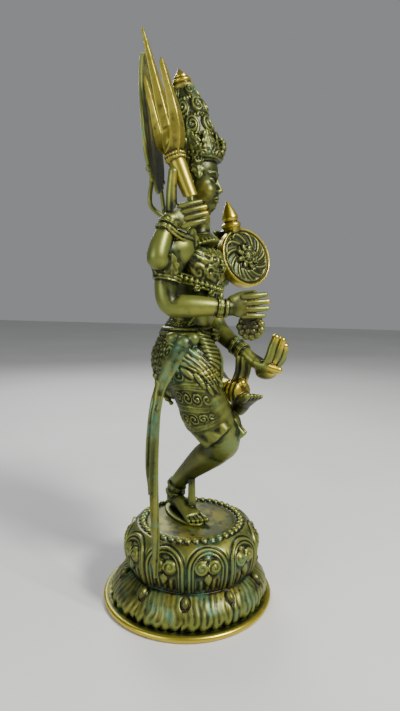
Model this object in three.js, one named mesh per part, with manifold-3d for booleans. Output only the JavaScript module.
import * as THREE from 'three';
import { mergeVertices } from 'three/addons/utils/BufferGeometryUtils.js';
import Module from 'manifold-3d';

// Four-armed dancing Shiva on a lotus pedestal, with a separate trident in the raised right hand.
// Millimetres, +Z up, origin at the middle of the pedestal's underside. The figure faces -Y and
// its left side is +X.

const wasm = await Module();
wasm.setup();

const { Vector2, Vector3 } = THREE;

// Driving sizes of the pedestal.
const FOOT_RADIUS = 57.5;
const FOOT_THICKNESS = 4;
const SKIRT_RADIUS = 52;
const WAIST_RADIUS = 40.6;
const WAIST_HEIGHT = 22;
const DRUM_RADIUS = 46.4;
const PLATFORM_HEIGHT = 52;
const BODY_SHIFT = 2.6;
const BEAD_RING_RADIUS = 33.2;
const BEAD_RADIUS = 2.3;
const BEAD_COUNT = 40;
const PETAL_COUNT = 10;
const PETAL_TURN = THREE.MathUtils.degToRad(10.2);
const ARCH_RELIEF = 1.4;
const BOSS_WIDTH = 5;
const BOSS_LENGTH = 8.2;
const BOSS_HEIGHT = 5;

// Driving sizes of the figure and the trident.
const FIGURE_HEIGHT = 291;
const FOOT_PLATE_THICKNESS = 1.6;
const SASH_WIDTH = 5.8;
const SASH_THICKNESS = 3;
const EMBLEM_RADIUS = 20.5;
const EMBLEM_THICKNESS = 8;
const NIMBUS_WIDTH = 49;
const NIMBUS_HEIGHT = 87;
const NIMBUS_THICKNESS = 2.4;
const TRIDENT_LENGTH = 101;
const TRIDENT_SPREAD = 28;
const FERRULE_END_RADIUS = 4.3;
const FERRULE_BORE_RADIUS = 3;
const FERRULE_BORE_DEPTH = 6;
const COLLAR_SHARE = 0.25;
const BLADE_WIDTH = 9.8;
const BLADE_THICKNESS = 5.8;
const CLEARANCE = 0.3;
const SHORTEST_EDGE = 1.2;
const SMALLEST_BODY = 5;

// The figure's own measures are in 291sts of its height, counted up from the platform.
const UNIT = FIGURE_HEIGHT / 291;
const FIGURE_FLOOR = PLATFORM_HEIGHT + CLEARANCE;

const TURN = Math.PI * 2;
const RIGHTWARD = new Vector3(1, 0, 0);
const UPWARD = new Vector3(0, 0, 1);

function at(x, y, z) {
  return new Vector3(UNIT * x, UNIT * y, FIGURE_FLOOR + UNIT * z);
}

// One station of a loft: where its middle is, and its half width and half depth there.
function station(x, y, z, wide, deep = wide) {
  return { middle: at(x, y, z), wide: UNIT * wide, deep: UNIT * deep };
}

function stationAt(middle, wide, deep = wide) {
  return { middle, wide, deep };
}

// Closed mesh from rings of points that run from one end to the other, with a pole at each end.
function ringsGeometry(rings, firstPole, lastPole) {
  const sides = rings[0].length;
  const points = [firstPole, ...rings.flat(), lastPole];
  const faces = [];
  const index = (ring, side) => 1 + ring * sides + (side % sides);
  for (let side = 0; side < sides; side += 1) {
    faces.push(0, index(0, side + 1), index(0, side));
    faces.push(points.length - 1, index(rings.length - 1, side), index(rings.length - 1, side + 1));
    for (let ring = 0; ring + 1 < rings.length; ring += 1) {
      faces.push(index(ring, side), index(ring, side + 1), index(ring + 1, side + 1));
      faces.push(index(ring, side), index(ring + 1, side + 1), index(ring + 1, side));
    }
  }
  const geometry = new THREE.BufferGeometry();
  const numbers = points.flatMap((point) => point.toArray());
  geometry.setAttribute('position', new THREE.Float32BufferAttribute(numbers, 3));
  geometry.setIndex(faces);
  return geometry;
}

function solidOf(geometry) {
  const bare = geometry.clone();
  bare.deleteAttribute('normal');
  bare.deleteAttribute('uv');
  const merged = mergeVertices(bare, 1e-4);
  return new wasm.Manifold(new wasm.Mesh({
    numProp: 3,
    vertProperties: new Float32Array(merged.attributes.position.array),
    triVerts: new Uint32Array(merged.index.array),
  }));
}

function fuse(solids) {
  return solids.reduce((whole, solid) => whole.add(solid));
}

// Middles, girths and a direction across, read off a loft at any share of its length.
function courseOf(stations, across) {
  const path = new THREE.CatmullRomCurve3(stations.map((s) => s.middle), false, 'catmullrom', 0.5);
  const girth = new THREE.SplineCurve(stations.map((s) => new Vector2(s.wide, s.deep)));
  return (share) => {
    const along = path.getTangent(share);
    const side = across.clone().addScaledVector(along, -across.dot(along)).normalize();
    const size = girth.getPoint(share);
    return { middle: path.getPoint(share), along, side, up: along.clone().cross(side), size };
  };
}

function sectionRing(place, proud, sides, lobes, lobeDepth, phase) {
  const ring = [];
  for (let side = 0; side < sides; side += 1) {
    const angle = (TURN * side) / sides;
    const swell = 1 + lobeDepth * Math.cos(lobes * angle + phase);
    ring.push(place.middle.clone()
      .addScaledVector(place.side, (place.size.x * swell + proud) * Math.cos(angle))
      .addScaledVector(place.up, (place.size.y * swell + proud) * Math.sin(angle)));
  }
  return ring;
}

// Where a loft's rings go along it: at its stations, and three for each raised band.
function ringPlaces(count, bands) {
  const places = Array.from({ length: count }, (_, index) => ({ share: index / (count - 1), proud: 0 }));
  bands.forEach(([share, proud, halfShare]) => {
    places.push({ share, proud: UNIT * proud });
    places.push({ share: share - halfShare, proud: 0 }, { share: share + halfShare, proud: 0 });
  });
  return places.sort((one, other) => one.share - other.share);
}

// Rounded body through its stations. across is the direction that wide is measured along, each
// end is a flat cut or a dome, whose height is a share of the half width there, and a band is a
// raised ring such as a bracelet or a woven border: its share of the length, how far it stands
// proud and half its width as a share.
function loft(stations, options = {}) {
  const { across = RIGHTWARD, sides = 8, domes = [0, 0.7], bands = [], lobes = 0, lobeDepth = 0 } = options;
  const { alternate = false } = options;
  const course = courseOf(stations, across);
  const rings = ringPlaces(stations.length, bands).map(({ share, proud }, index) => (
    sectionRing(course(share), proud, sides, lobes, lobeDepth, alternate && index % 2 ? Math.PI : 0)));
  const poleAt = (share, dome, direction) => {
    const end = course(share);
    const rise = direction * dome * Math.min(end.size.x, end.size.y);
    return end.middle.clone().addScaledVector(end.along, rise);
  };
  return solidOf(ringsGeometry(rings, poleAt(0, domes[0], -1), poleAt(1, domes[1], 1)));
}

function ball(middle, x, y = x, z = x, columns = 5, rows = 3) {
  const geometry = new THREE.SphereGeometry(1, columns, rows);
  geometry.rotateX(Math.PI / 2);
  geometry.scale(UNIT * x, UNIT * y, UNIT * z);
  geometry.translate(middle.x, middle.y, middle.z);
  return solidOf(geometry);
}

// Lobed disc that rises to its middle, facing along a normal.
function rosette(middle, normal, radius, thickness, lobes = 5) {
  const face = normal.clone().normalize();
  const across = Math.abs(face.z) > 0.9 ? RIGHTWARD : UPWARD;
  const from = middle.clone().addScaledVector(face, -UNIT * thickness * 0.5);
  const to = middle.clone().addScaledVector(face, UNIT * thickness * 0.3);
  return loft(
    [stationAt(from, UNIT * radius), stationAt(to, UNIT * radius * 0.9)],
    { across, sides: lobes * 2, domes: [0, (thickness * 0.5) / radius], lobes, lobeDepth: 0.14 },
  );
}

// Pointed leaf, flat across its face, from its root to its tip.
function leaf(root, tip, face, width, thickness) {
  const across = face.clone().cross(tip.clone().sub(root)).normalize();
  const bulge = face.clone().setLength(UNIT * thickness * 0.4);
  const belly = root.clone().lerp(tip, 0.4).add(bulge);
  return loft([
    stationAt(root, UNIT * width * 0.3, UNIT * thickness * 0.5),
    stationAt(belly, UNIT * width * 0.5, UNIT * thickness * 0.5),
    stationAt(tip, UNIT * width * 0.1, UNIT * thickness * 0.25),
  ], { across, sides: 4, domes: [0, 0.3] });
}

// Pedestal

function petalPhase(angle) {
  return Math.abs(Math.sin((PETAL_COUNT * angle) / 2));
}

// Height that an upright petal's rounded arch stands proud of the drum at an angle and a share
// of the drum's height.
function archRelief(angle, share) {
  const half = Math.PI / PETAL_COUNT;
  const across = Math.abs((angle % (2 * half)) - half) / half;
  const archTop = 0.8 * Math.sqrt(Math.max(0, 1 - across ** 2));
  return share < archTop ? ARCH_RELIEF : 0;
}

function beadSwell(angle) {
  return Math.max(0, Math.cos(BEAD_COUNT * angle));
}

// Ring round the pedestal's axis, or round its body's, which was cast off the foot's middle.
function pedestalRing(radiusAt, heightAt, shift = BODY_SHIFT) {
  const columns = BEAD_COUNT * 2;
  const ring = [];
  for (let column = 0; column < columns; column += 1) {
    const angle = (TURN * column) / columns;
    const radius = radiusAt(angle);
    const turned = angle + PETAL_TURN;
    ring.push(new Vector3(radius * Math.cos(turned), radius * Math.sin(turned) - shift, heightAt(angle)));
  }
  return ring;
}

function makePedestal() {
  const drumBottom = WAIST_HEIGHT + 1;
  const drumSpan = PLATFORM_HEIGHT - drumBottom;
  const drumAt = (share, inset) => pedestalRing(
    (angle) => DRUM_RADIUS - ARCH_RELIEF - inset + archRelief(angle, share),
    () => drumBottom + drumSpan * share,
  );
  const skirtAt = (out, up) => pedestalRing(
    (angle) => WAIST_RADIUS + (SKIRT_RADIUS - WAIST_RADIUS) * out
      + out * (1.3 * petalPhase(angle) - 0.7 + 0.5 * Math.cos(BEAD_COUNT * angle)),
    (angle) => FOOT_THICKNESS + (WAIST_HEIGHT - FOOT_THICKNESS) * up + (1 - up) * 0.9 * petalPhase(angle),
  );
  const plain = (radius, height, shift) => pedestalRing(() => radius, () => height, shift);
  const rings = [
    plain(FOOT_RADIUS - 2, 0, 0),
    plain(FOOT_RADIUS, FOOT_THICKNESS * 0.5, 0),
    plain(FOOT_RADIUS - 1.5, FOOT_THICKNESS, 0),
    plain(SKIRT_RADIUS - 2.4, FOOT_THICKNESS * 0.8),
    skirtAt(1, 0.1),
    skirtAt(0.86, 0.52),
    skirtAt(0, 1),
    drumAt(0, DRUM_RADIUS - ARCH_RELIEF * 2 - WAIST_RADIUS - 0.6),
    drumAt(0.25, 1),
    drumAt(0.5, 0.3),
    drumAt(0.78, 2),
    plain(BEAD_RING_RADIUS + BEAD_RADIUS * 1.6, PLATFORM_HEIGHT - 0.4),
    pedestalRing(() => BEAD_RING_RADIUS, (angle) => PLATFORM_HEIGHT + BEAD_RADIUS * 0.9 * beadSwell(angle)),
    plain(BEAD_RING_RADIUS - BEAD_RADIUS, PLATFORM_HEIGHT),
  ];
  const bottomMiddle = new Vector3(0, 0, 0);
  const topMiddle = new Vector3(0, -BODY_SHIFT, PLATFORM_HEIGHT);
  const bosses = [];
  for (let petal = 0; petal < PETAL_COUNT; petal += 1) {
    bosses.push(petalBoss(PETAL_TURN + (TURN * petal) / PETAL_COUNT));
  }
  return fuse([solidOf(ringsGeometry(rings, bottomMiddle, topMiddle)), ...bosses]);
}

// Oval boss on the skirt's upper slope, where one petal meets the next.
function petalBoss(angle) {
  const radius = WAIST_RADIUS + (SKIRT_RADIUS - WAIST_RADIUS) * 0.34;
  const boss = new THREE.SphereGeometry(1, 4, 4);
  boss.rotateX(Math.PI / 2);
  boss.scale(BOSS_LENGTH / 2, BOSS_WIDTH / 2, BOSS_HEIGHT / 2);
  boss.rotateY(Math.PI / 4);
  boss.translate(radius, 0, WAIST_HEIGHT - (WAIST_HEIGHT - FOOT_THICKNESS) * 0.18);
  boss.rotateZ(angle);
  boss.translate(0, -BODY_SHIFT, 0);
  return solidOf(boss);
}

// Limbs, each from its root to its end, in the figure's own measures.

const LIMBS = {
  standingLeg: [
    station(-10, 3, 110, 15, 16), station(-11.5, -10, 88, 14, 15), station(-8, -24.5, 62, 11, 11.5),
    station(-3.6, -20.5, 52, 9.2, 10.2), station(1.5, -10.5, 43, 8.6, 9.4), station(8, 2.5, 30, 6.2, 6.8),
    station(13, 12, 18, 5, 5.6), station(15.5, 14, 7, 5.6, 6.2),
  ],
  raisedLeg: [
    station(8, 3, 112, 14, 15), station(30, 9, 107, 13, 13.5), station(50, 8.5, 99.5, 10.8, 10.8),
    station(46, -1, 95.5, 9.8, 10), station(33, -9.5, 92, 9.2, 9.6), station(20, -18, 89.8, 7.2, 7.4),
    station(11, -26, 88.6, 6.4, 6.6), station(5, -33, 86, 6.2, 6.2), station(4.4, -34, 79.5, 5.6, 5.8),
  ],
  rightFrontArm: [
    station(-21.5, 2, 181, 8, 8.5), station(-26, 6, 168, 7.4, 7.8), station(-28.6, 7.4, 155, 6.2, 6.8),
    station(-28.3, 4.4, 146, 6.4, 6.6), station(-25.4, -6, 145.4, 6.2, 6.8),
    station(-21, -17, 145.2, 5.4, 5.8), station(-15.8, -28, 144.3, 4.3, 4.6),
  ],
  rightRearArm: [
    station(-20, 3, 184, 8, 8), station(-31, 8, 176, 7, 7.2), station(-37.5, 9.4, 173, 6.4, 6.6),
    station(-35.6, 8.6, 180, 6.2, 6.6), station(-32, 6.6, 189, 5.2, 5.6), station(-29, 4.6, 196, 4.3, 4.6),
  ],
  leftFrontArm: [
    station(22.5, -2.5, 181, 8, 8.5), station(27, -6.6, 168, 7.6, 7.8), station(29.4, -8.8, 154, 6.6, 7),
    station(28.6, -9, 142, 6.8, 7), station(24.6, -13, 130.6, 6.6, 7), station(19.6, -21, 123.2, 6, 6.2),
    station(14.2, -29.6, 117.6, 5.1, 5.3), station(9.8, -36.4, 113.2, 4.3, 4.5),
  ],
  leftRearArm: [
    station(22, 0, 184, 8, 8), station(34, 4, 177, 7, 7), station(42, 1.5, 174, 6.2, 6.4),
    station(41, -5, 182, 5.6, 6), station(37, -11, 188, 4.4, 4.6),
  ],
};

function makeTorso() {
  const trunk = loft([
    station(-1, 4, 104, 16, 14), station(-0.5, 2, 124, 16.4, 15), station(0, 0, 137, 14.2, 12.6),
    station(1, -3.5, 152, 16.8, 13.6), station(1.5, -5.4, 166, 20.8, 15.8), station(1.5, -4, 178, 20.6, 13.4),
    station(1.5, -4, 185, 12, 9), station(1.7, -5.6, 193, 6.6, 6.8), station(1.6, -5.5, 208, 6.4, 6.6),
  ], { sides: 12 });
  const belly = ball(at(0.4, -9.6, 141), 11.5, 6.4, 9.5, 7, 4);
  const shoulders = [at(-21.5, 1.5, 179), at(23, -1.2, 179)];
  return fuse([trunk, belly, ...shoulders.map((middle) => ball(middle, 8.4, 8.6, 8.2, 7, 4))]);
}

// Bracelets, armlets and anklets, each as a band on its limb.
const LIMB_BANDS = {
  standingLeg: [[0.845, 1.3, 0.014], [0.92, 1.3, 0.014]],
  raisedLeg: [],
  rightFrontArm: [[0.24, 1.6, 0.03], [0.94, 1.3, 0.03]],
  rightRearArm: [[0.83, 1.3, 0.025], [0.93, 1.3, 0.025]],
  leftFrontArm: [[0.24, 1.6, 0.03], [0.92, 1.4, 0.03]],
  leftRearArm: [[0.92, 1.3, 0.03]],
};

function makeLimbs() {
  return fuse(Object.entries(LIMBS).map(([name, stations]) => (
    loft(stations, { across: acrossOf(stations), sides: 7, bands: LIMB_BANDS[name] }))));
}

// The direction square to the plane that a limb bends in.
function acrossOf(stations) {
  const root = stations[0].middle;
  const bend = stations[Math.floor(stations.length / 2)].middle;
  const end = stations.at(-1).middle;
  return bend.clone().sub(root).cross(end.clone().sub(bend)).normalize();
}

function makeJewels() {
  const collar = loft([
    station(1.6, -4.6, 189.6, 8.8, 8.8), station(1.6, -5.4, 186, 12.4, 10.8),
    station(1.6, -6.6, 182.4, 15.8, 12.8),
  ], { sides: 12, domes: [0, 0] });
  const pendants = [-10, -5, 0, 5, 10].map((x) => (
    ball(at(1.6 + x, -19 + Math.abs(x) * 0.26, 177.6), 2.3, 2.2, 3.4)));
  const rosettes = [
    rosette(at(1.6, -20.6, 170.4), new Vector3(0, -1, 0.2), 4.4, 3.4),
    rosette(at(-9.9, -17.6, 172.6), new Vector3(-0.6, -1, 0.3), 4.2, 3.4, 4),
    rosette(at(13.1, -17.6, 172.6), new Vector3(0.6, -1, 0.3), 4.2, 3.4, 4),
  ];
  const chestBand = loft([
    station(-19, 1, 162.7, 3, 1.6), station(-13.4, -13.6, 158.4, 3, 1.8), station(1.5, -20, 155.2, 3, 1.8),
    station(15.8, -13.6, 158.4, 3, 1.8), station(21.8, 1, 162.7, 3, 1.6),
  ], { across: UPWARD, sides: 5 });
  return fuse([collar, ...pendants, ...rosettes, chestBand, ...makeArmLeaves()]);
}

// Flame-like leaves that stand up from the armlets and the shoulders.
function makeArmLeaves() {
  return [
    [at(-30, 12.6, 163), at(-35.6, 16.6, 177), new Vector3(-0.6, 1, 0)],
    [at(-32.5, 3, 163), at(-35.6, 1.4, 176), new Vector3(-1, -0.5, 0.2)],
    [at(31, -15, 162), at(34, -17.6, 175), new Vector3(0.7, -1, 0.2)],
    [at(35, -5, 162), at(39.4, -4, 174), new Vector3(1, 0.1, 0)],
    [at(22, -16.5, 158), at(21, -22, 170), new Vector3(-0.5, -1, 0.1)],
    [at(20.5, -13.5, 166), at(17, -19.5, 175.5), new Vector3(-0.8, -1, 0.2)],
    [at(-19, -5, 180), at(-22.4, -7, 192.6), new Vector3(-1, -0.6, 0.3)],
    [at(22, -6, 180), at(25, -8, 192), new Vector3(1, -0.6, 0.3)],
  ].map(([root, tip, face]) => leaf(root, tip, face, 8.8, 3.6));
}

// Hands and feet

// Palm with four fingers and a thumb. aim is the way the fingers point, spread runs from the
// little finger to the first, and grip is the side that the fingers curl towards.
function hand(wrist, aim, spread, grip, options = {}) {
  const { palmLength = 11, fingerLength = 14, thumb = [0.5, 0.9, 0.2] } = options;
  const { fan = 1.12, girth = 1 } = options;
  const forward = aim.clone().normalize();
  const side = spread.clone().normalize();
  const inward = grip.clone().normalize();
  const from = (along, out, into) => wrist.clone()
    .addScaledVector(forward, UNIT * along)
    .addScaledVector(side, UNIT * out)
    .addScaledVector(inward, UNIT * into);
  const palm = loft([
    stationAt(from(0, 0, 0), UNIT * 4.2, UNIT * 3.4),
    stationAt(from(palmLength * 0.5, 0, 0), UNIT * 6.2, UNIT * 3.2),
    stationAt(from(palmLength, 0, 0.5), UNIT * 7, UNIT * 2.6),
  ], { across: side, sides: 6, domes: [0, 0] });
  const fingers = [-5.4, -1.8, 1.8, 5.4].map((out, number) => {
    const length = fingerLength * [0.8, 0.96, 1, 0.9][number];
    return loft([
      stationAt(from(palmLength - 1, out, 0.4), UNIT * 1.8 * girth),
      stationAt(from(palmLength + length * 0.6, out * (0.4 + fan * 0.6), 1.2), UNIT * 1.7 * girth),
      stationAt(from(palmLength + length, out * fan, 2.5), UNIT * 1.35 * girth),
    ], { across: side, sides: 4 });
  });
  const [thumbAlong, thumbOut, thumbIn] = thumb;
  const thumbTip = from(palmLength * (0.3 + thumbAlong * 1.3), 4 + thumbOut * 10, thumbIn * 9);
  const thumbSolid = loft([
    stationAt(from(palmLength * 0.3, 4, 0.6), UNIT * 2.8 * girth),
    stationAt(thumbTip, UNIT * 2.1 * girth),
  ], { across: inward, sides: 4 });
  return fuse([palm, ...fingers, thumbSolid]);
}

function endOf(name) {
  return LIMBS[name].at(-1).middle;
}

function makeHands() {
  return fuse([
    hand(endOf('rightFrontArm'), new Vector3(5.5, -22, 2), new Vector3(0, 0.05, 1), new Vector3(1, 0.3, 0), {
      thumb: [0.9, 0.3, 0.5], girth: 1.28,
    }),
    hand(endOf('rightRearArm'), new Vector3(7, -20, 6.5), new Vector3(0, 0.4, 1), new Vector3(1, 0.3, 0), {
      palmLength: 7, fingerLength: 15, thumb: [0.98, 2.15, -0.29], fan: 1, girth: 1.28,
    }),
    loweredHand(),
    hand(endOf('leftRearArm'), new Vector3(-8, -6, 2.8), new Vector3(0.3, 0, 1), new Vector3(-0.5, -1, 0), {
      palmLength: 8, fingerLength: 10, thumb: [0.3, 0.6, 0.6],
    }),
  ]);
}

// The lowered left hand: palm down in front, its fingers turned up, joint by joint.
function loweredHand() {
  const palm = loft([
    station(9.4, -38, 112, 5, 4.2), station(9.4, -43, 108.6, 6.8, 4.4), station(9.8, -49, 105.4, 7.8, 4.4),
    station(10, -54, 105, 7.4, 3.4),
  ], { sides: 8 });
  const heel = ball(at(10, -49.6, 101.6), 6.4, 7, 4.4, 7, 4);
  const fingers = [
    [station(4, -49.5, 107.5, 3), station(3.5, -53.4, 116.4, 2.9), station(4, -56, 125.4, 2.6)],
    [station(8, -52.5, 107.5, 3), station(8, -57.2, 115.4, 2.9), station(8, -59.8, 123.4, 2.6)],
    [station(12, -54.5, 107, 3), station(12.4, -59.2, 112.4, 2.9), station(12, -61.6, 119.4, 2.6)],
    [station(16, -54, 106, 3), station(16.5, -58.6, 109.2, 2.9), station(16, -60.2, 114, 2.6)],
  ].map((joints) => loft(joints, { sides: 5 }));
  const thumb = loft([
    station(5, -43.5, 108.6, 3.2), station(3.6, -50.5, 106.6, 2.9), station(4.4, -57.8, 104.7, 2.6),
  ], { sides: 5 });
  return fuse([palm, heel, ...fingers, thumb]);
}

// Foot from its heel to its toes. across runs towards the great toe.
function foot(heel, toeRoot, across, rise, girth = 1) {
  const forward = toeRoot.clone().sub(heel);
  const side = across.clone().normalize();
  const lift = rise.clone().normalize();
  const size = UNIT * girth;
  const from = (share, out, up) => heel.clone()
    .addScaledVector(forward, share)
    .addScaledVector(side, size * out)
    .addScaledVector(lift, size * up);
  const sole = loft([
    stationAt(from(0.02, 0, 4.6), size * 4.8, size * 4.6),
    stationAt(from(0.35, 0, 5.4), size * 4.8, size * 5.2),
    stationAt(from(0.7, 0, 4), size * 6, size * 3.8),
    stationAt(from(0.97, 0, 2.7), size * 6.8, size * 2.5),
  ], { across: side, sides: 7 });
  const toes = [-5.6, -3, -0.4, 2.3, 5.5].map((out, number) => {
    const reach = [1.14, 1.19, 1.22, 1.25, 1.27][number];
    const thick = [1.4, 1.4, 1.5, 1.5, 2][number];
    return loft([
      stationAt(from(0.93, out, 2.3), size * thick),
      stationAt(from(reach, out * 1.05, 1.8), size * thick),
    ], { across: side, sides: 4 });
  });
  return fuse([sole, ...toes]);
}

function makeFeet() {
  const plateTop = FOOT_PLATE_THICKNESS / UNIT;
  const plate = loft([
    stationAt(at(5, 4, 0), UNIT * 21.6, UNIT * 10.6),
    stationAt(at(5, 4, plateTop), UNIT * 21.2, UNIT * 10.2),
  ], { across: new Vector3(1, 1, 0), sides: 14, domes: [0, 0] });
  const post = loft(
    [station(5, -1, 28, 2.4), station(4, -1.4, 15, 2.6), station(3, -1.5, 4, 3.2)],
    { sides: 5 },
  );
  const sole = plateTop - 0.4;
  const standing = foot(at(16.5, 15, sole), at(-4.5, -5, sole), new Vector3(1, -1, 0), UPWARD);
  const raisedRise = new Vector3(0.46, 0.52, 0.72);
  const raisedAcross = new Vector3(-0.78, 0.62, 0.05);
  const raised = foot(at(3, -35, 73.5), at(-3.6, -43.4, 84.6), raisedAcross, raisedRise, 1.16);
  const cuff = loft([
    station(14, -20, 87.4, 7.6), station(9, -27.4, 88.3, 7.8), station(3.6, -35, 88.8, 7.4),
  ], { sides: 10, domes: [0.3, 0.3], bands: [[0.4, 0.7, 0.1], [0.8, 0.7, 0.1]] });
  const knob = ball(at(3, -34.8, 95), 3.2);
  return fuse([plate, post, standing, raised, cuff, knob]);
}

// Head and crown

function makeHead() {
  const skull = loft([
    station(1.7, -8.6, 204.5, 4.4, 4.4), station(1.5, -6.6, 209, 9, 9.5), station(1.3, -4.6, 217, 11.6, 12.8),
    station(1.1, -3.1, 227, 12.4, 14), station(1, -2.6, 238, 12, 13.4),
  ], { sides: 12, domes: [0.6, 0.3] });
  const nose = loft([
    station(1.3, -16.2, 225, 1.4, 1.4), station(1.3, -18.6, 217.5, 2.2, 2),
    station(1.3, -17, 215.5, 2.4, 1.2),
  ], { sides: 5 });
  const lips = loft(
    [station(-1.8, -15.6, 211.4, 1, 1), station(1.3, -17, 211.4, 1.5, 1.5), station(4.4, -15.6, 211.4, 1, 1)],
    { across: UPWARD, sides: 5 },
  );
  const chin = ball(at(1.4, -13.1, 206.5), 3.6, 3.6, 3);
  const sides = [-1, 1].flatMap((side) => [
    ball(at(1.3 + side * 5.2, -14.4, 222.5), 3.2, 2, 1.6),
    loft([
      station(1.3 + side * 12, -2.2, 226, 1.8, 3), station(1.3 + side * 13.4, -3.2, 207, 1.8, 2.3),
    ], { sides: 5 }),
    rosette(at(1.3 + side * 14, -4, 205), new Vector3(side, -0.5, 0), 3.4, 3.4, 4),
    rosette(at(1.3 + side * 12.4, -6.6, 234.4), new Vector3(side, -0.7, 0), 3.2, 3.4, 4),
    leaf(at(1.3 + side * 11.4, -3, 229), at(1.3 + side * 16.4, 0, 246), new Vector3(side, -0.5, 0), 8, 3.6),
  ]);
  return fuse([skull, nose, lips, chin, ...sides]);
}

// Middle of the crown at a height, on its line that leans back.
function crownAxis(height, radius) {
  const lean = 0.235;
  return station(1 - (height - 238) * 0.055, -4.6 + (height - 238) * lean, height, radius, radius);
}

function makeCrown() {
  const tiers = [
    [236, 13.8], [239.4, 15.6], [242.8, 14.2], [247.6, 14], [252.4, 13.5], [257.2, 12.9], [262, 12.3],
    [266.8, 11.4], [271.6, 10], [276, 8], [279, 5.6],
  ];
  const body = loft(tiers.map(([height, radius]) => crownAxis(height, radius)), {
    sides: 16, domes: [0, 0], lobes: 8, lobeDepth: 0.06, alternate: true,
  });
  const finialTiers = [
    [276.4, 5], [278, 7], [280.2, 7], [281.8, 5.4], [283.4, 6], [285, 4.6], [286.8, 4.1], [290.4, 0.7],
  ];
  const finial = loft(finialTiers.map(([height, radius]) => crownAxis(height, radius)), { sides: 8 });
  const crest = loft([
    station(1.3, -18, 238, 3.3, 2.1), station(1.3, -20.2, 241.6, 3, 2), station(1.3, -20.2, 246, 2.7, 1.9),
    station(1.3, -18, 248.4, 2.3, 1.8), station(1.3, -16, 246.4, 1.9, 1.6),
  ], { sides: 5 });
  const leaves = [-135, -45, 0, 90, 180].map((degrees) => {
    const angle = THREE.MathUtils.degToRad(degrees);
    const outward = new Vector3(Math.cos(angle), Math.sin(angle), 0);
    const root = crownAxis(239, 1).middle.addScaledVector(outward, UNIT * 14);
    const tip = crownAxis(251, 1).middle.addScaledVector(outward, UNIT * 14.8);
    return leaf(root, tip, outward, 8, 3.4);
  });
  return fuse([body, finial, crest, ...leaves]);
}

// Garments

function makeGarments() {
  const hips = loft([
    station(-2.6, 2.6, 91, 16, 18), station(-2.5, 2.5, 101, 20.4, 20.8), station(-2, 3, 112, 21.4, 22),
    station(-1, 2.5, 122, 18.8, 18.4), station(-0.6, 1.8, 125, 18.9, 18.1),
    station(-0.5, 1.4, 131, 18.4, 17.4),
  ], { sides: 12, domes: [0, 0] });
  const sarong = [
    station(-10, 1, 109, 16.4, 16.8), station(-11.2, -6.4, 97.5, 16.2, 16),
    station(-11.4, -9.6, 86, 15.6, 14.6), station(-11, -12.9, 76, 15.2, 14.4),
    station(-10.4, -18.2, 68.5, 14.4, 13), station(-10, -23, 63.4, 13.8, 12.4),
  ];
  const raisedSarong = [
    station(10, 4, 111, 15.8, 16.8), station(29, 9, 107.5, 15, 15.6), station(44, 9.6, 102, 13.2, 13.2),
  ];
  const bandsAt = (shares) => shares.map((share) => [share, 0.8, 0.03]);
  const legs = [
    loft(sarong, { sides: 10, domes: [0, 0], bands: bandsAt([0.47, 0.7]) }),
    loft(raisedSarong, {
      across: new Vector3(0, 1, 0), sides: 10, domes: [0, 0], bands: bandsAt([0.66, 0.93]),
    }),
  ];
  const flap = loft([
    station(-10, -9, 128, 6, 4), station(-8, -14, 119, 9.8, 5.2), station(-6.6, -17.4, 110, 10.6, 5.2),
    station(-7, -16.8, 98, 9.8, 4.8),
  ], { sides: 7 });
  const tail = loft([
    station(-11, 17.6, 100, 6.2, 3.6), station(-12, 15.2, 92, 5.2, 3.2), station(-12, 12.4, 87, 3.8, 2.4),
    station(-12, 8.6, 82, 1.6, 1.3),
  ], { sides: 5 });
  return fuse([hips, ...legs, flap, tail, ...makePleats(), ...makeHems()]);
}

// Gathered end of the cloth that hangs in front of the standing knee.
function makePleats() {
  return [0, 1, 2, 3].map((pleat) => {
    const out = pleat * 2.2;
    const wave = 0.9 * Math.sin(pleat * 2.1);
    return loft([
      station(-9 + out, -21 + wave * 0.4, 95, 1.9, 2.6), station(-9 + out * 1.1, -22.4 + wave, 85, 2.1, 3.4),
      station(-9.4 + out * 1.1, -28.4 - wave, 74, 2.1, 4.4), station(-10 + out, -35.6 + wave, 62.6, 1.8, 4.8),
    ], { sides: 5, domes: [0, 0.8] });
  });
}

// Hem of the overskirt across the thigh, and the two folds that fall from the girdle.
function makeHems() {
  const hem = [
    station(-23, 7, 121.3, 2.4, 1.2), station(-23.2, -3.6, 115.9, 2.4, 1.3),
    station(-20.8, -13.8, 107.7, 2.4, 1.3), station(-13.6, -24.4, 96.5, 2.4, 1.3),
  ];
  const folds = [
    [
      station(-5, -19.4, 117.4, 1.7, 1.9), station(-5.4, -21.8, 109, 2.1, 2.3),
      station(-8, -21.2, 94.6, 2.1, 2.1),
    ],
    [
      station(-1.6, -19.4, 116, 1.7, 1.7), station(-2, -21.4, 106, 1.9, 2.1),
      station(-4, -21.4, 94, 1.9, 1.9),
    ],
  ];
  return [
    loft(hem, { across: UPWARD, sides: 5 }),
    ...folds.map((stations) => loft(stations, { sides: 5 })),
  ];
}

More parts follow.
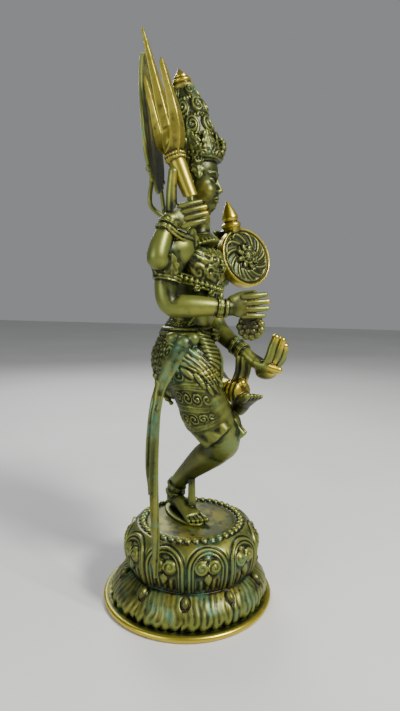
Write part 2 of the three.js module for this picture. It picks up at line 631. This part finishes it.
// Ribbon that falls from the knot on the right hip, clear of the drum's side.
function makeSash() {
  const outward = new Vector3(-1, 0.15, 0).normalize();
  const drumClear = DRUM_RADIUS + CLEARANCE + SASH_THICKNESS * 0.7;
  const beside = (height) => outward.clone().multiplyScalar(drumClear).setZ(height);
  const half = SASH_WIDTH / 2;
  const thin = SASH_THICKNESS / 2;
  const main = [
    stationAt(at(-22, -1, 121), half * 1.7, thin * 2.1),
    stationAt(at(-28, 4, 109), half * 1.7, thin * 1.9),
    stationAt(at(-34.5, 8.5, 96), half * 1.15, thin * 1.5),
    stationAt(at(-37.5, 9.4, 87), half, thin * 1.3),
    stationAt(at(-40, 10, 76), half * 1.05, thin * 1.2),
    stationAt(at(-44.5, 9.3, 42), half * 1.05, thin * 1.1),
    stationAt(beside(PLATFORM_HEIGHT + 6), half * 0.86, thin * 1.1),
    stationAt(beside(PLATFORM_HEIGHT * 0.84), half * 0.64, thin * 1.1),
    stationAt(beside(PLATFORM_HEIGHT * 0.68), half * 0.45, thin),
  ];
  const second = [
    stationAt(at(-33.5, 10, 99), half * 0.83, thin * 1.2),
    stationAt(at(-37.5, 12.2, 85), half * 0.87, thin * 1.1),
    stationAt(at(-40.4, 13.2, 66), half * 0.9, thin),
    stationAt(at(-42.2, 13.4, 49), half * 0.7, thin),
    stationAt(at(-42.6, 13.2, 35), half * 0.4, thin * 0.7),
  ];
  const acrossRibbon = new Vector3(0, 1, 0);
  const knot = [
    ball(at(-21.5, -1.5, 122), 5, 6, 6),
    ball(at(-20, -7, 125), 4, 4.6, 4.2),
    ball(at(-20.5, 5, 125), 4, 5, 4.2),
  ];
  const leftKnot = [ball(at(19, -3, 124), 5, 6, 5.4), ball(at(19.5, 4, 124), 4, 5, 4)];
  return fuse([
    loft(main, { across: acrossRibbon, sides: 8 }),
    loft(second, { across: acrossRibbon, sides: 5 }),
    ...knot,
    ...leftKnot,
  ]);
}

// Things held, and the nimbus

// The round emblem stands in front of the rear left palm and hangs below its fingers.
const EMBLEM_FACE = new Vector3(-0.655, -0.715, 0.245).normalize();
const EMBLEM_DROP = new Vector3(0.193, -0.473, -0.861);
const EMBLEM_UP = new Vector3(-0.083, 0.405, 0.912);
const EMBLEM_MIDDLE = endOf('leftRearArm').clone()
  .addScaledVector(EMBLEM_FACE, UNIT * 11.6 + EMBLEM_THICKNESS / 2)
  .addScaledVector(EMBLEM_DROP, EMBLEM_RADIUS * 0.81);

function makeEmblem() {
  const onFace = (share) => EMBLEM_MIDDLE.clone().addScaledVector(EMBLEM_FACE, EMBLEM_THICKNESS * share);
  const disc = loft([
    stationAt(onFace(-0.5), EMBLEM_RADIUS * 0.9), stationAt(onFace(0), EMBLEM_RADIUS),
    stationAt(onFace(0.5), EMBLEM_RADIUS * 0.9),
  ], { across: EMBLEM_UP, sides: 18, domes: [0, 0] });
  const face = rosette(onFace(0.6), EMBLEM_FACE, (EMBLEM_RADIUS * 0.6) / UNIT, 4.4, 8);
  const finialTop = new Vector3(-0.1, 0.18, 0.98).normalize();
  const rise = (distance) => EMBLEM_MIDDLE.clone()
    .addScaledVector(EMBLEM_UP, EMBLEM_RADIUS)
    .addScaledVector(finialTop, UNIT * distance);
  const finial = loft([
    stationAt(rise(-4), UNIT * 4.6), stationAt(rise(2.6), UNIT * 6.9), stationAt(rise(4.4), UNIT * 6.5),
    stationAt(rise(5.6), UNIT * 4.8), stationAt(rise(8.4), UNIT * 5.6), stationAt(rise(14), UNIT * 3.5),
    stationAt(rise(19), UNIT * 0.9),
  ], { sides: 8 });
  return fuse([disc, face, finial]);
}

// Pointed oval plate that leans back behind the head, on a forked stem from the nape.
function makeNimbus() {
  const low = at(0, 23.3, 216.4);
  const across = new Vector3(0.996, 0.087, 0).normalize();
  const lean = new Vector3(0, 0.108, 0.994).addScaledVector(across, -0.0094).normalize();
  const front = across.clone().cross(lean);
  const halfWidthAt = (height) => (
    (NIMBUS_WIDTH / 2) * Math.sin(Math.PI * height ** 0.62) ** (0.5 + 0.9 * (1 - height) ** 4));
  const shares = 10;
  const edge = [];
  for (let step = 1; step < shares; step += 1) {
    const height = (1 - Math.cos((Math.PI * step) / shares)) / 2;
    edge.push(new Vector2(halfWidthAt(height), NIMBUS_HEIGHT * height));
  }
  const outline = new THREE.Shape();
  outline.moveTo(0, 0);
  edge.forEach(({ x, y }) => outline.lineTo(x, y));
  outline.lineTo(0, NIMBUS_HEIGHT);
  edge.toReversed().forEach(({ x, y }) => outline.lineTo(-x, y));
  outline.closePath();
  const plate = new THREE.ExtrudeGeometry(outline, { depth: NIMBUS_THICKNESS, bevelEnabled: false });
  plate.applyMatrix4(new THREE.Matrix4().makeBasis(across, lean, front).setPosition(low));
  const onPlate = (share, height) => low.clone()
    .addScaledVector(across, share * halfWidthAt(height))
    .addScaledVector(lean, NIMBUS_HEIGHT * height)
    .addScaledVector(front, NIMBUS_THICKNESS / 2);
  const stemAndKnobs = [-1, 1].flatMap((side) => [
    loft([
      stationAt(onPlate(side * 0.65, 0.1), UNIT * 1.9, UNIT * 1.5),
      stationAt(at(side * 14, 22.6, 210), UNIT * 1.8, UNIT * 1.6),
      stationAt(at(side * 10, 20, 204), UNIT * 1.9, UNIT * 1.7),
      stationAt(at(side * 5, 9, 197), UNIT * 2.1, UNIT * 1.9),
      stationAt(at(side * 2, -1, 193), UNIT * 2.3, UNIT * 2.1),
    ], { sides: 4 }),
    ball(onPlate(side * 0.95, 0.075), 1.9),
    ball(onPlate(side * 1.02, 0.132), 1.9),
  ]);
  return fuse([solidOf(plate), ...stemAndKnobs]);
}

// Loop of prayer beads under the front right hand, and the cloth between wrist and ankle.
function makeTrims() {
  const beads = 9;
  const loop = Array.from({ length: beads }, (_, bead) => {
    const angle = (TURN * bead) / beads;
    return ball(at(-9 + Math.sin(angle), -41.6 + 6.4 * Math.cos(angle), 132.8 + 6 * Math.sin(angle)), 3.1);
  });
  const heart = ball(at(-8.8, -41.4, 132.4), 3.4, 5.2, 5.4);
  const tie = loft(
    [station(9, -35, 111, 3.4, 6), station(8, -34.4, 102, 3, 5.6), station(7.4, -32, 94, 3.6, 5.6)],
    { sides: 6 },
  );
  const stroke = loft([station(-9, -39.4, 141, 2.8, 3.6), station(-9, -40, 136, 2.2, 3)], { sides: 6 });
  return fuse([...loop, heart, tie, stroke]);
}

// Trident, in its own measures: +Z runs up the middle blade to its tip, the side prongs lie along
// X, and the ferrule's open end hangs off that line. grown is how much wider than itself it is made.
const FERRULE_BEND = new Vector2(-2.2, -2.6);

function makeTrident(grown = 0) {
  const on = (along, across, wide, deep) => {
    const bent = Math.max(0, 1 - along / COLLAR_SHARE);
    const middle = new Vector3(across + FERRULE_BEND.x * bent, FERRULE_BEND.y * bent, TRIDENT_LENGTH * along);
    return stationAt(middle, wide + grown, deep + grown);
  };
  const ferruleTiers = [
    [-grown / TRIDENT_LENGTH, 1], [0.1, 1.1], [0.22, 1.27], [0.236, 1.56], [0.264, 1.56], [0.28, 1.3],
    [0.35, 1.24], [0.4, 0.84],
  ];
  const ferrule = loft(ferruleTiers.map(([along, girth]) => (
    on(along, 0, FERRULE_END_RADIUS * girth, FERRULE_END_RADIUS * girth))), { sides: 10, domes: [0, 0] });
  const blade = (tiers) => loft(tiers.map(([along, across, thickness, width]) => (
    on(along, across, (BLADE_WIDTH / 2) * width, (BLADE_THICKNESS / 2) * thickness))), {
    across: new Vector3(0, 1, 0), sides: 4, domes: [0, 0.1],
  });
  const middle = blade([
    [0.31, 0, 1.2, 1.18], [0.42, 0, 1.1, 1.06], [0.55, 0, 0.96, 0.96], [0.67, 0, 0.8, 0.76],
    [0.79, 0, 0.62, 0.6], [0.9, 0, 0.46, 0.44], [0.97, 0, 0.32, 0.3], [1, 0, 0.2, 0.16],
  ]);
  const prongs = [-1, 1].map((side) => {
    const reach = (side * TRIDENT_SPREAD) / 2;
    return blade([
      [0.285, reach * 0.1, 1.1, 1.12], [0.305, reach * 0.43, 1.2, 1.16], [0.35, reach * 0.77, 1.2, 1.08],
      [0.42, reach * 0.95, 1.04, 0.96], [0.5, reach, 0.94, 0.8], [0.6, reach * 0.98, 0.76, 0.62],
      [0.69, reach * 0.97, 0.6, 0.53], [side < 0 ? 0.73 : 0.76, reach * 0.99, 0.42, 0.38],
      [side < 0 ? 0.75 : 0.79, reach, 0.22, 0.18],
    ]);
  });
  return fuse([ferrule, middle, ...prongs]);
}

function makeBore() {
  const bore = new THREE.CylinderGeometry(
    FERRULE_BORE_RADIUS,
    FERRULE_BORE_RADIUS,
    FERRULE_BORE_DEPTH * 2,
    8,
  );
  bore.rotateX(Math.PI / 2);
  bore.translate(FERRULE_BEND.x, FERRULE_BEND.y, 0);
  return solidOf(bore);
}

// Six times the volume that a face spans with the origin, signed by the way that it points.
function faceVolume(points, face) {
  const [a, b, c] = face.map((index) => new Vector3().fromArray(points, index * 3));
  return a.dot(b.cross(c));
}

// Outer skin of a joined piece: pockets shut in between its members are filled, and a scrap of
// under SMALLEST_BODY cubic millimetres inside a pocket goes with it.
function outerFaces(points, indices) {
  const shellOf = Array.from({ length: points.length / 3 }, (_, vertex) => vertex);
  const find = (vertex) => {
    let root = vertex;
    while (shellOf[root] !== root) root = shellOf[root];
    shellOf[vertex] = root;
    return root;
  };
  const faces = [];
  for (let corner = 0; corner < indices.length; corner += 3) {
    const face = [...indices.slice(corner, corner + 3)];
    faces.push(face);
    shellOf[find(face[1])] = find(face[0]);
    shellOf[find(face[2])] = find(face[0]);
  }
  const volumes = new Map();
  faces.forEach((face) => {
    const shell = find(face[0]);
    volumes.set(shell, (volumes.get(shell) ?? 0) + faceVolume(points, face));
  });
  return faces.filter((face) => volumes.get(find(face[0])) > 6 * SMALLEST_BODY).flat();
}

// Faces around each vertex, kept up to date while edges are drawn together.
function facesByVertex(faces) {
  const around = new Map();
  faces.forEach((face) => face.forEach((vertex) => {
    if (!around.has(vertex)) around.set(vertex, new Set());
    around.get(vertex).add(face);
  }));
  return around;
}

function neighboursOf(vertex, around) {
  const found = new Set();
  around.get(vertex).forEach((face) => face.forEach((other) => found.add(other)));
  found.delete(vertex);
  return found;
}

function normalOf(corners) {
  const [a, b, c] = corners;
  return b.clone().sub(a).cross(c.clone().sub(a));
}

// Whether moving one vertex onto another keeps the skin closed and turns no face over.
function canMerge(goes, stays, around, points) {
  const nearStays = neighboursOf(stays, around);
  const shared = [...neighboursOf(goes, around)].filter((vertex) => nearStays.has(vertex));
  if (shared.length !== 2) return false;
  return [...around.get(goes)].filter((face) => !face.includes(stays)).every((face) => {
    const before = normalOf(face.map((vertex) => points[vertex]));
    const after = normalOf(face.map((vertex) => points[vertex === goes ? stays : vertex]));
    return after.length() > 1e-4 && before.dot(after) > 0.5 * before.length() * after.length();
  });
}

// Slivers where members cross are drawn together: an edge under SHORTEST_EDGE becomes a point.
function withoutSlivers(solid) {
  const { vertProperties, triVerts } = solid.getMesh();
  const points = [];
  for (let start = 0; start < vertProperties.length; start += 3) {
    points.push(new Vector3().fromArray(vertProperties, start));
  }
  const flat = outerFaces(vertProperties, triVerts);
  const faces = Array.from({ length: flat.length / 3 }, (_, index) => flat.slice(index * 3, index * 3 + 3));
  const around = facesByVertex(faces);
  let merged = 1;
  while (merged > 0) {
    merged = 0;
    for (const goes of [...around.keys()]) {
      const near = [...neighboursOf(goes, around)]
        .filter((stays) => points[goes].distanceTo(points[stays]) < SHORTEST_EDGE);
      const stays = near.find((vertex) => canMerge(goes, vertex, around, points));
      if (stays !== undefined) {
        mergeVertex(goes, stays, around);
        merged += 1;
      }
    }
  }
  const kept = [...new Set([...around.values()].flatMap((set) => [...set]))];
  const geometry = new THREE.BufferGeometry();
  geometry.setAttribute('position', new THREE.BufferAttribute(new Float32Array(vertProperties), 3));
  geometry.setIndex(kept.flat());
  return solidOf(geometry);
}

function mergeVertex(goes, stays, around) {
  around.get(goes).forEach((face) => {
    if (face.includes(stays)) {
      face.forEach((vertex) => around.get(vertex).delete(face));
    } else {
      face[face.indexOf(goes)] = stays;
      around.get(stays).add(face);
    }
  });
  around.delete(goes);
}

function geometryOf(solid) {
  const { vertProperties, triVerts } = solid.getMesh();
  const geometry = new THREE.BufferGeometry();
  geometry.setAttribute('position', new THREE.BufferAttribute(new Float32Array(vertProperties), 3));
  geometry.setIndex(outerFaces(vertProperties, triVerts));
  geometry.computeVertexNormals();
  return geometry;
}

function meshOf(name, solid, colour, roughness, metalness) {
  const material = new THREE.MeshStandardMaterial({ color: colour, roughness, metalness });
  const mesh = new THREE.Mesh(geometryOf(solid), material);
  mesh.name = name;
  return mesh;
}

const FIGURE_PARTS = [
  makeTorso, makeLimbs, makeJewels, makeHands, makeFeet, makeHead, makeCrown, makeGarments, makeSash,
  makeEmblem, makeNimbus, makeTrims,
];

// The trident's ferrule rests in the fork between the rear right hand's thumb and first finger.
const TRIDENT_SEAT = at(-22.5, -3, 208.4);
const TRIDENT_AIM = new Vector3(-2.6, 19.2, 72).normalize();
const TRIDENT_SIDE = new Vector3(0.776, 0.631, 0);

const trident = meshOf('trident', makeTrident().subtract(makeBore()), 0xa08a3c, 0.35, 0.9);
const side = TRIDENT_SIDE.clone().addScaledVector(TRIDENT_AIM, -TRIDENT_SIDE.dot(TRIDENT_AIM)).normalize();
const facing = TRIDENT_AIM.clone().cross(side);
trident.quaternion.setFromRotationMatrix(new THREE.Matrix4().makeBasis(side, facing, TRIDENT_AIM));
trident.position.copy(TRIDENT_SEAT);
trident.updateMatrixWorld(true);

// The figure is cut back from the trident with the clearance all round.
function tridentRoom() {
  const geometry = geometryOf(makeTrident(CLEARANCE));
  geometry.applyMatrix4(trident.matrixWorld);
  return solidOf(geometry);
}

const figure = withoutSlivers(fuse(FIGURE_PARTS.map((make) => make()))).subtract(tridentRoom());

const statue = new THREE.Group();
statue.add(
  meshOf('lotus_pedestal', makePedestal(), 0x6b6f45, 0.5, 0.8),
  meshOf('shiva_figure', figure, 0x5d6240, 0.5, 0.8),
  trident,
);

export default statue;
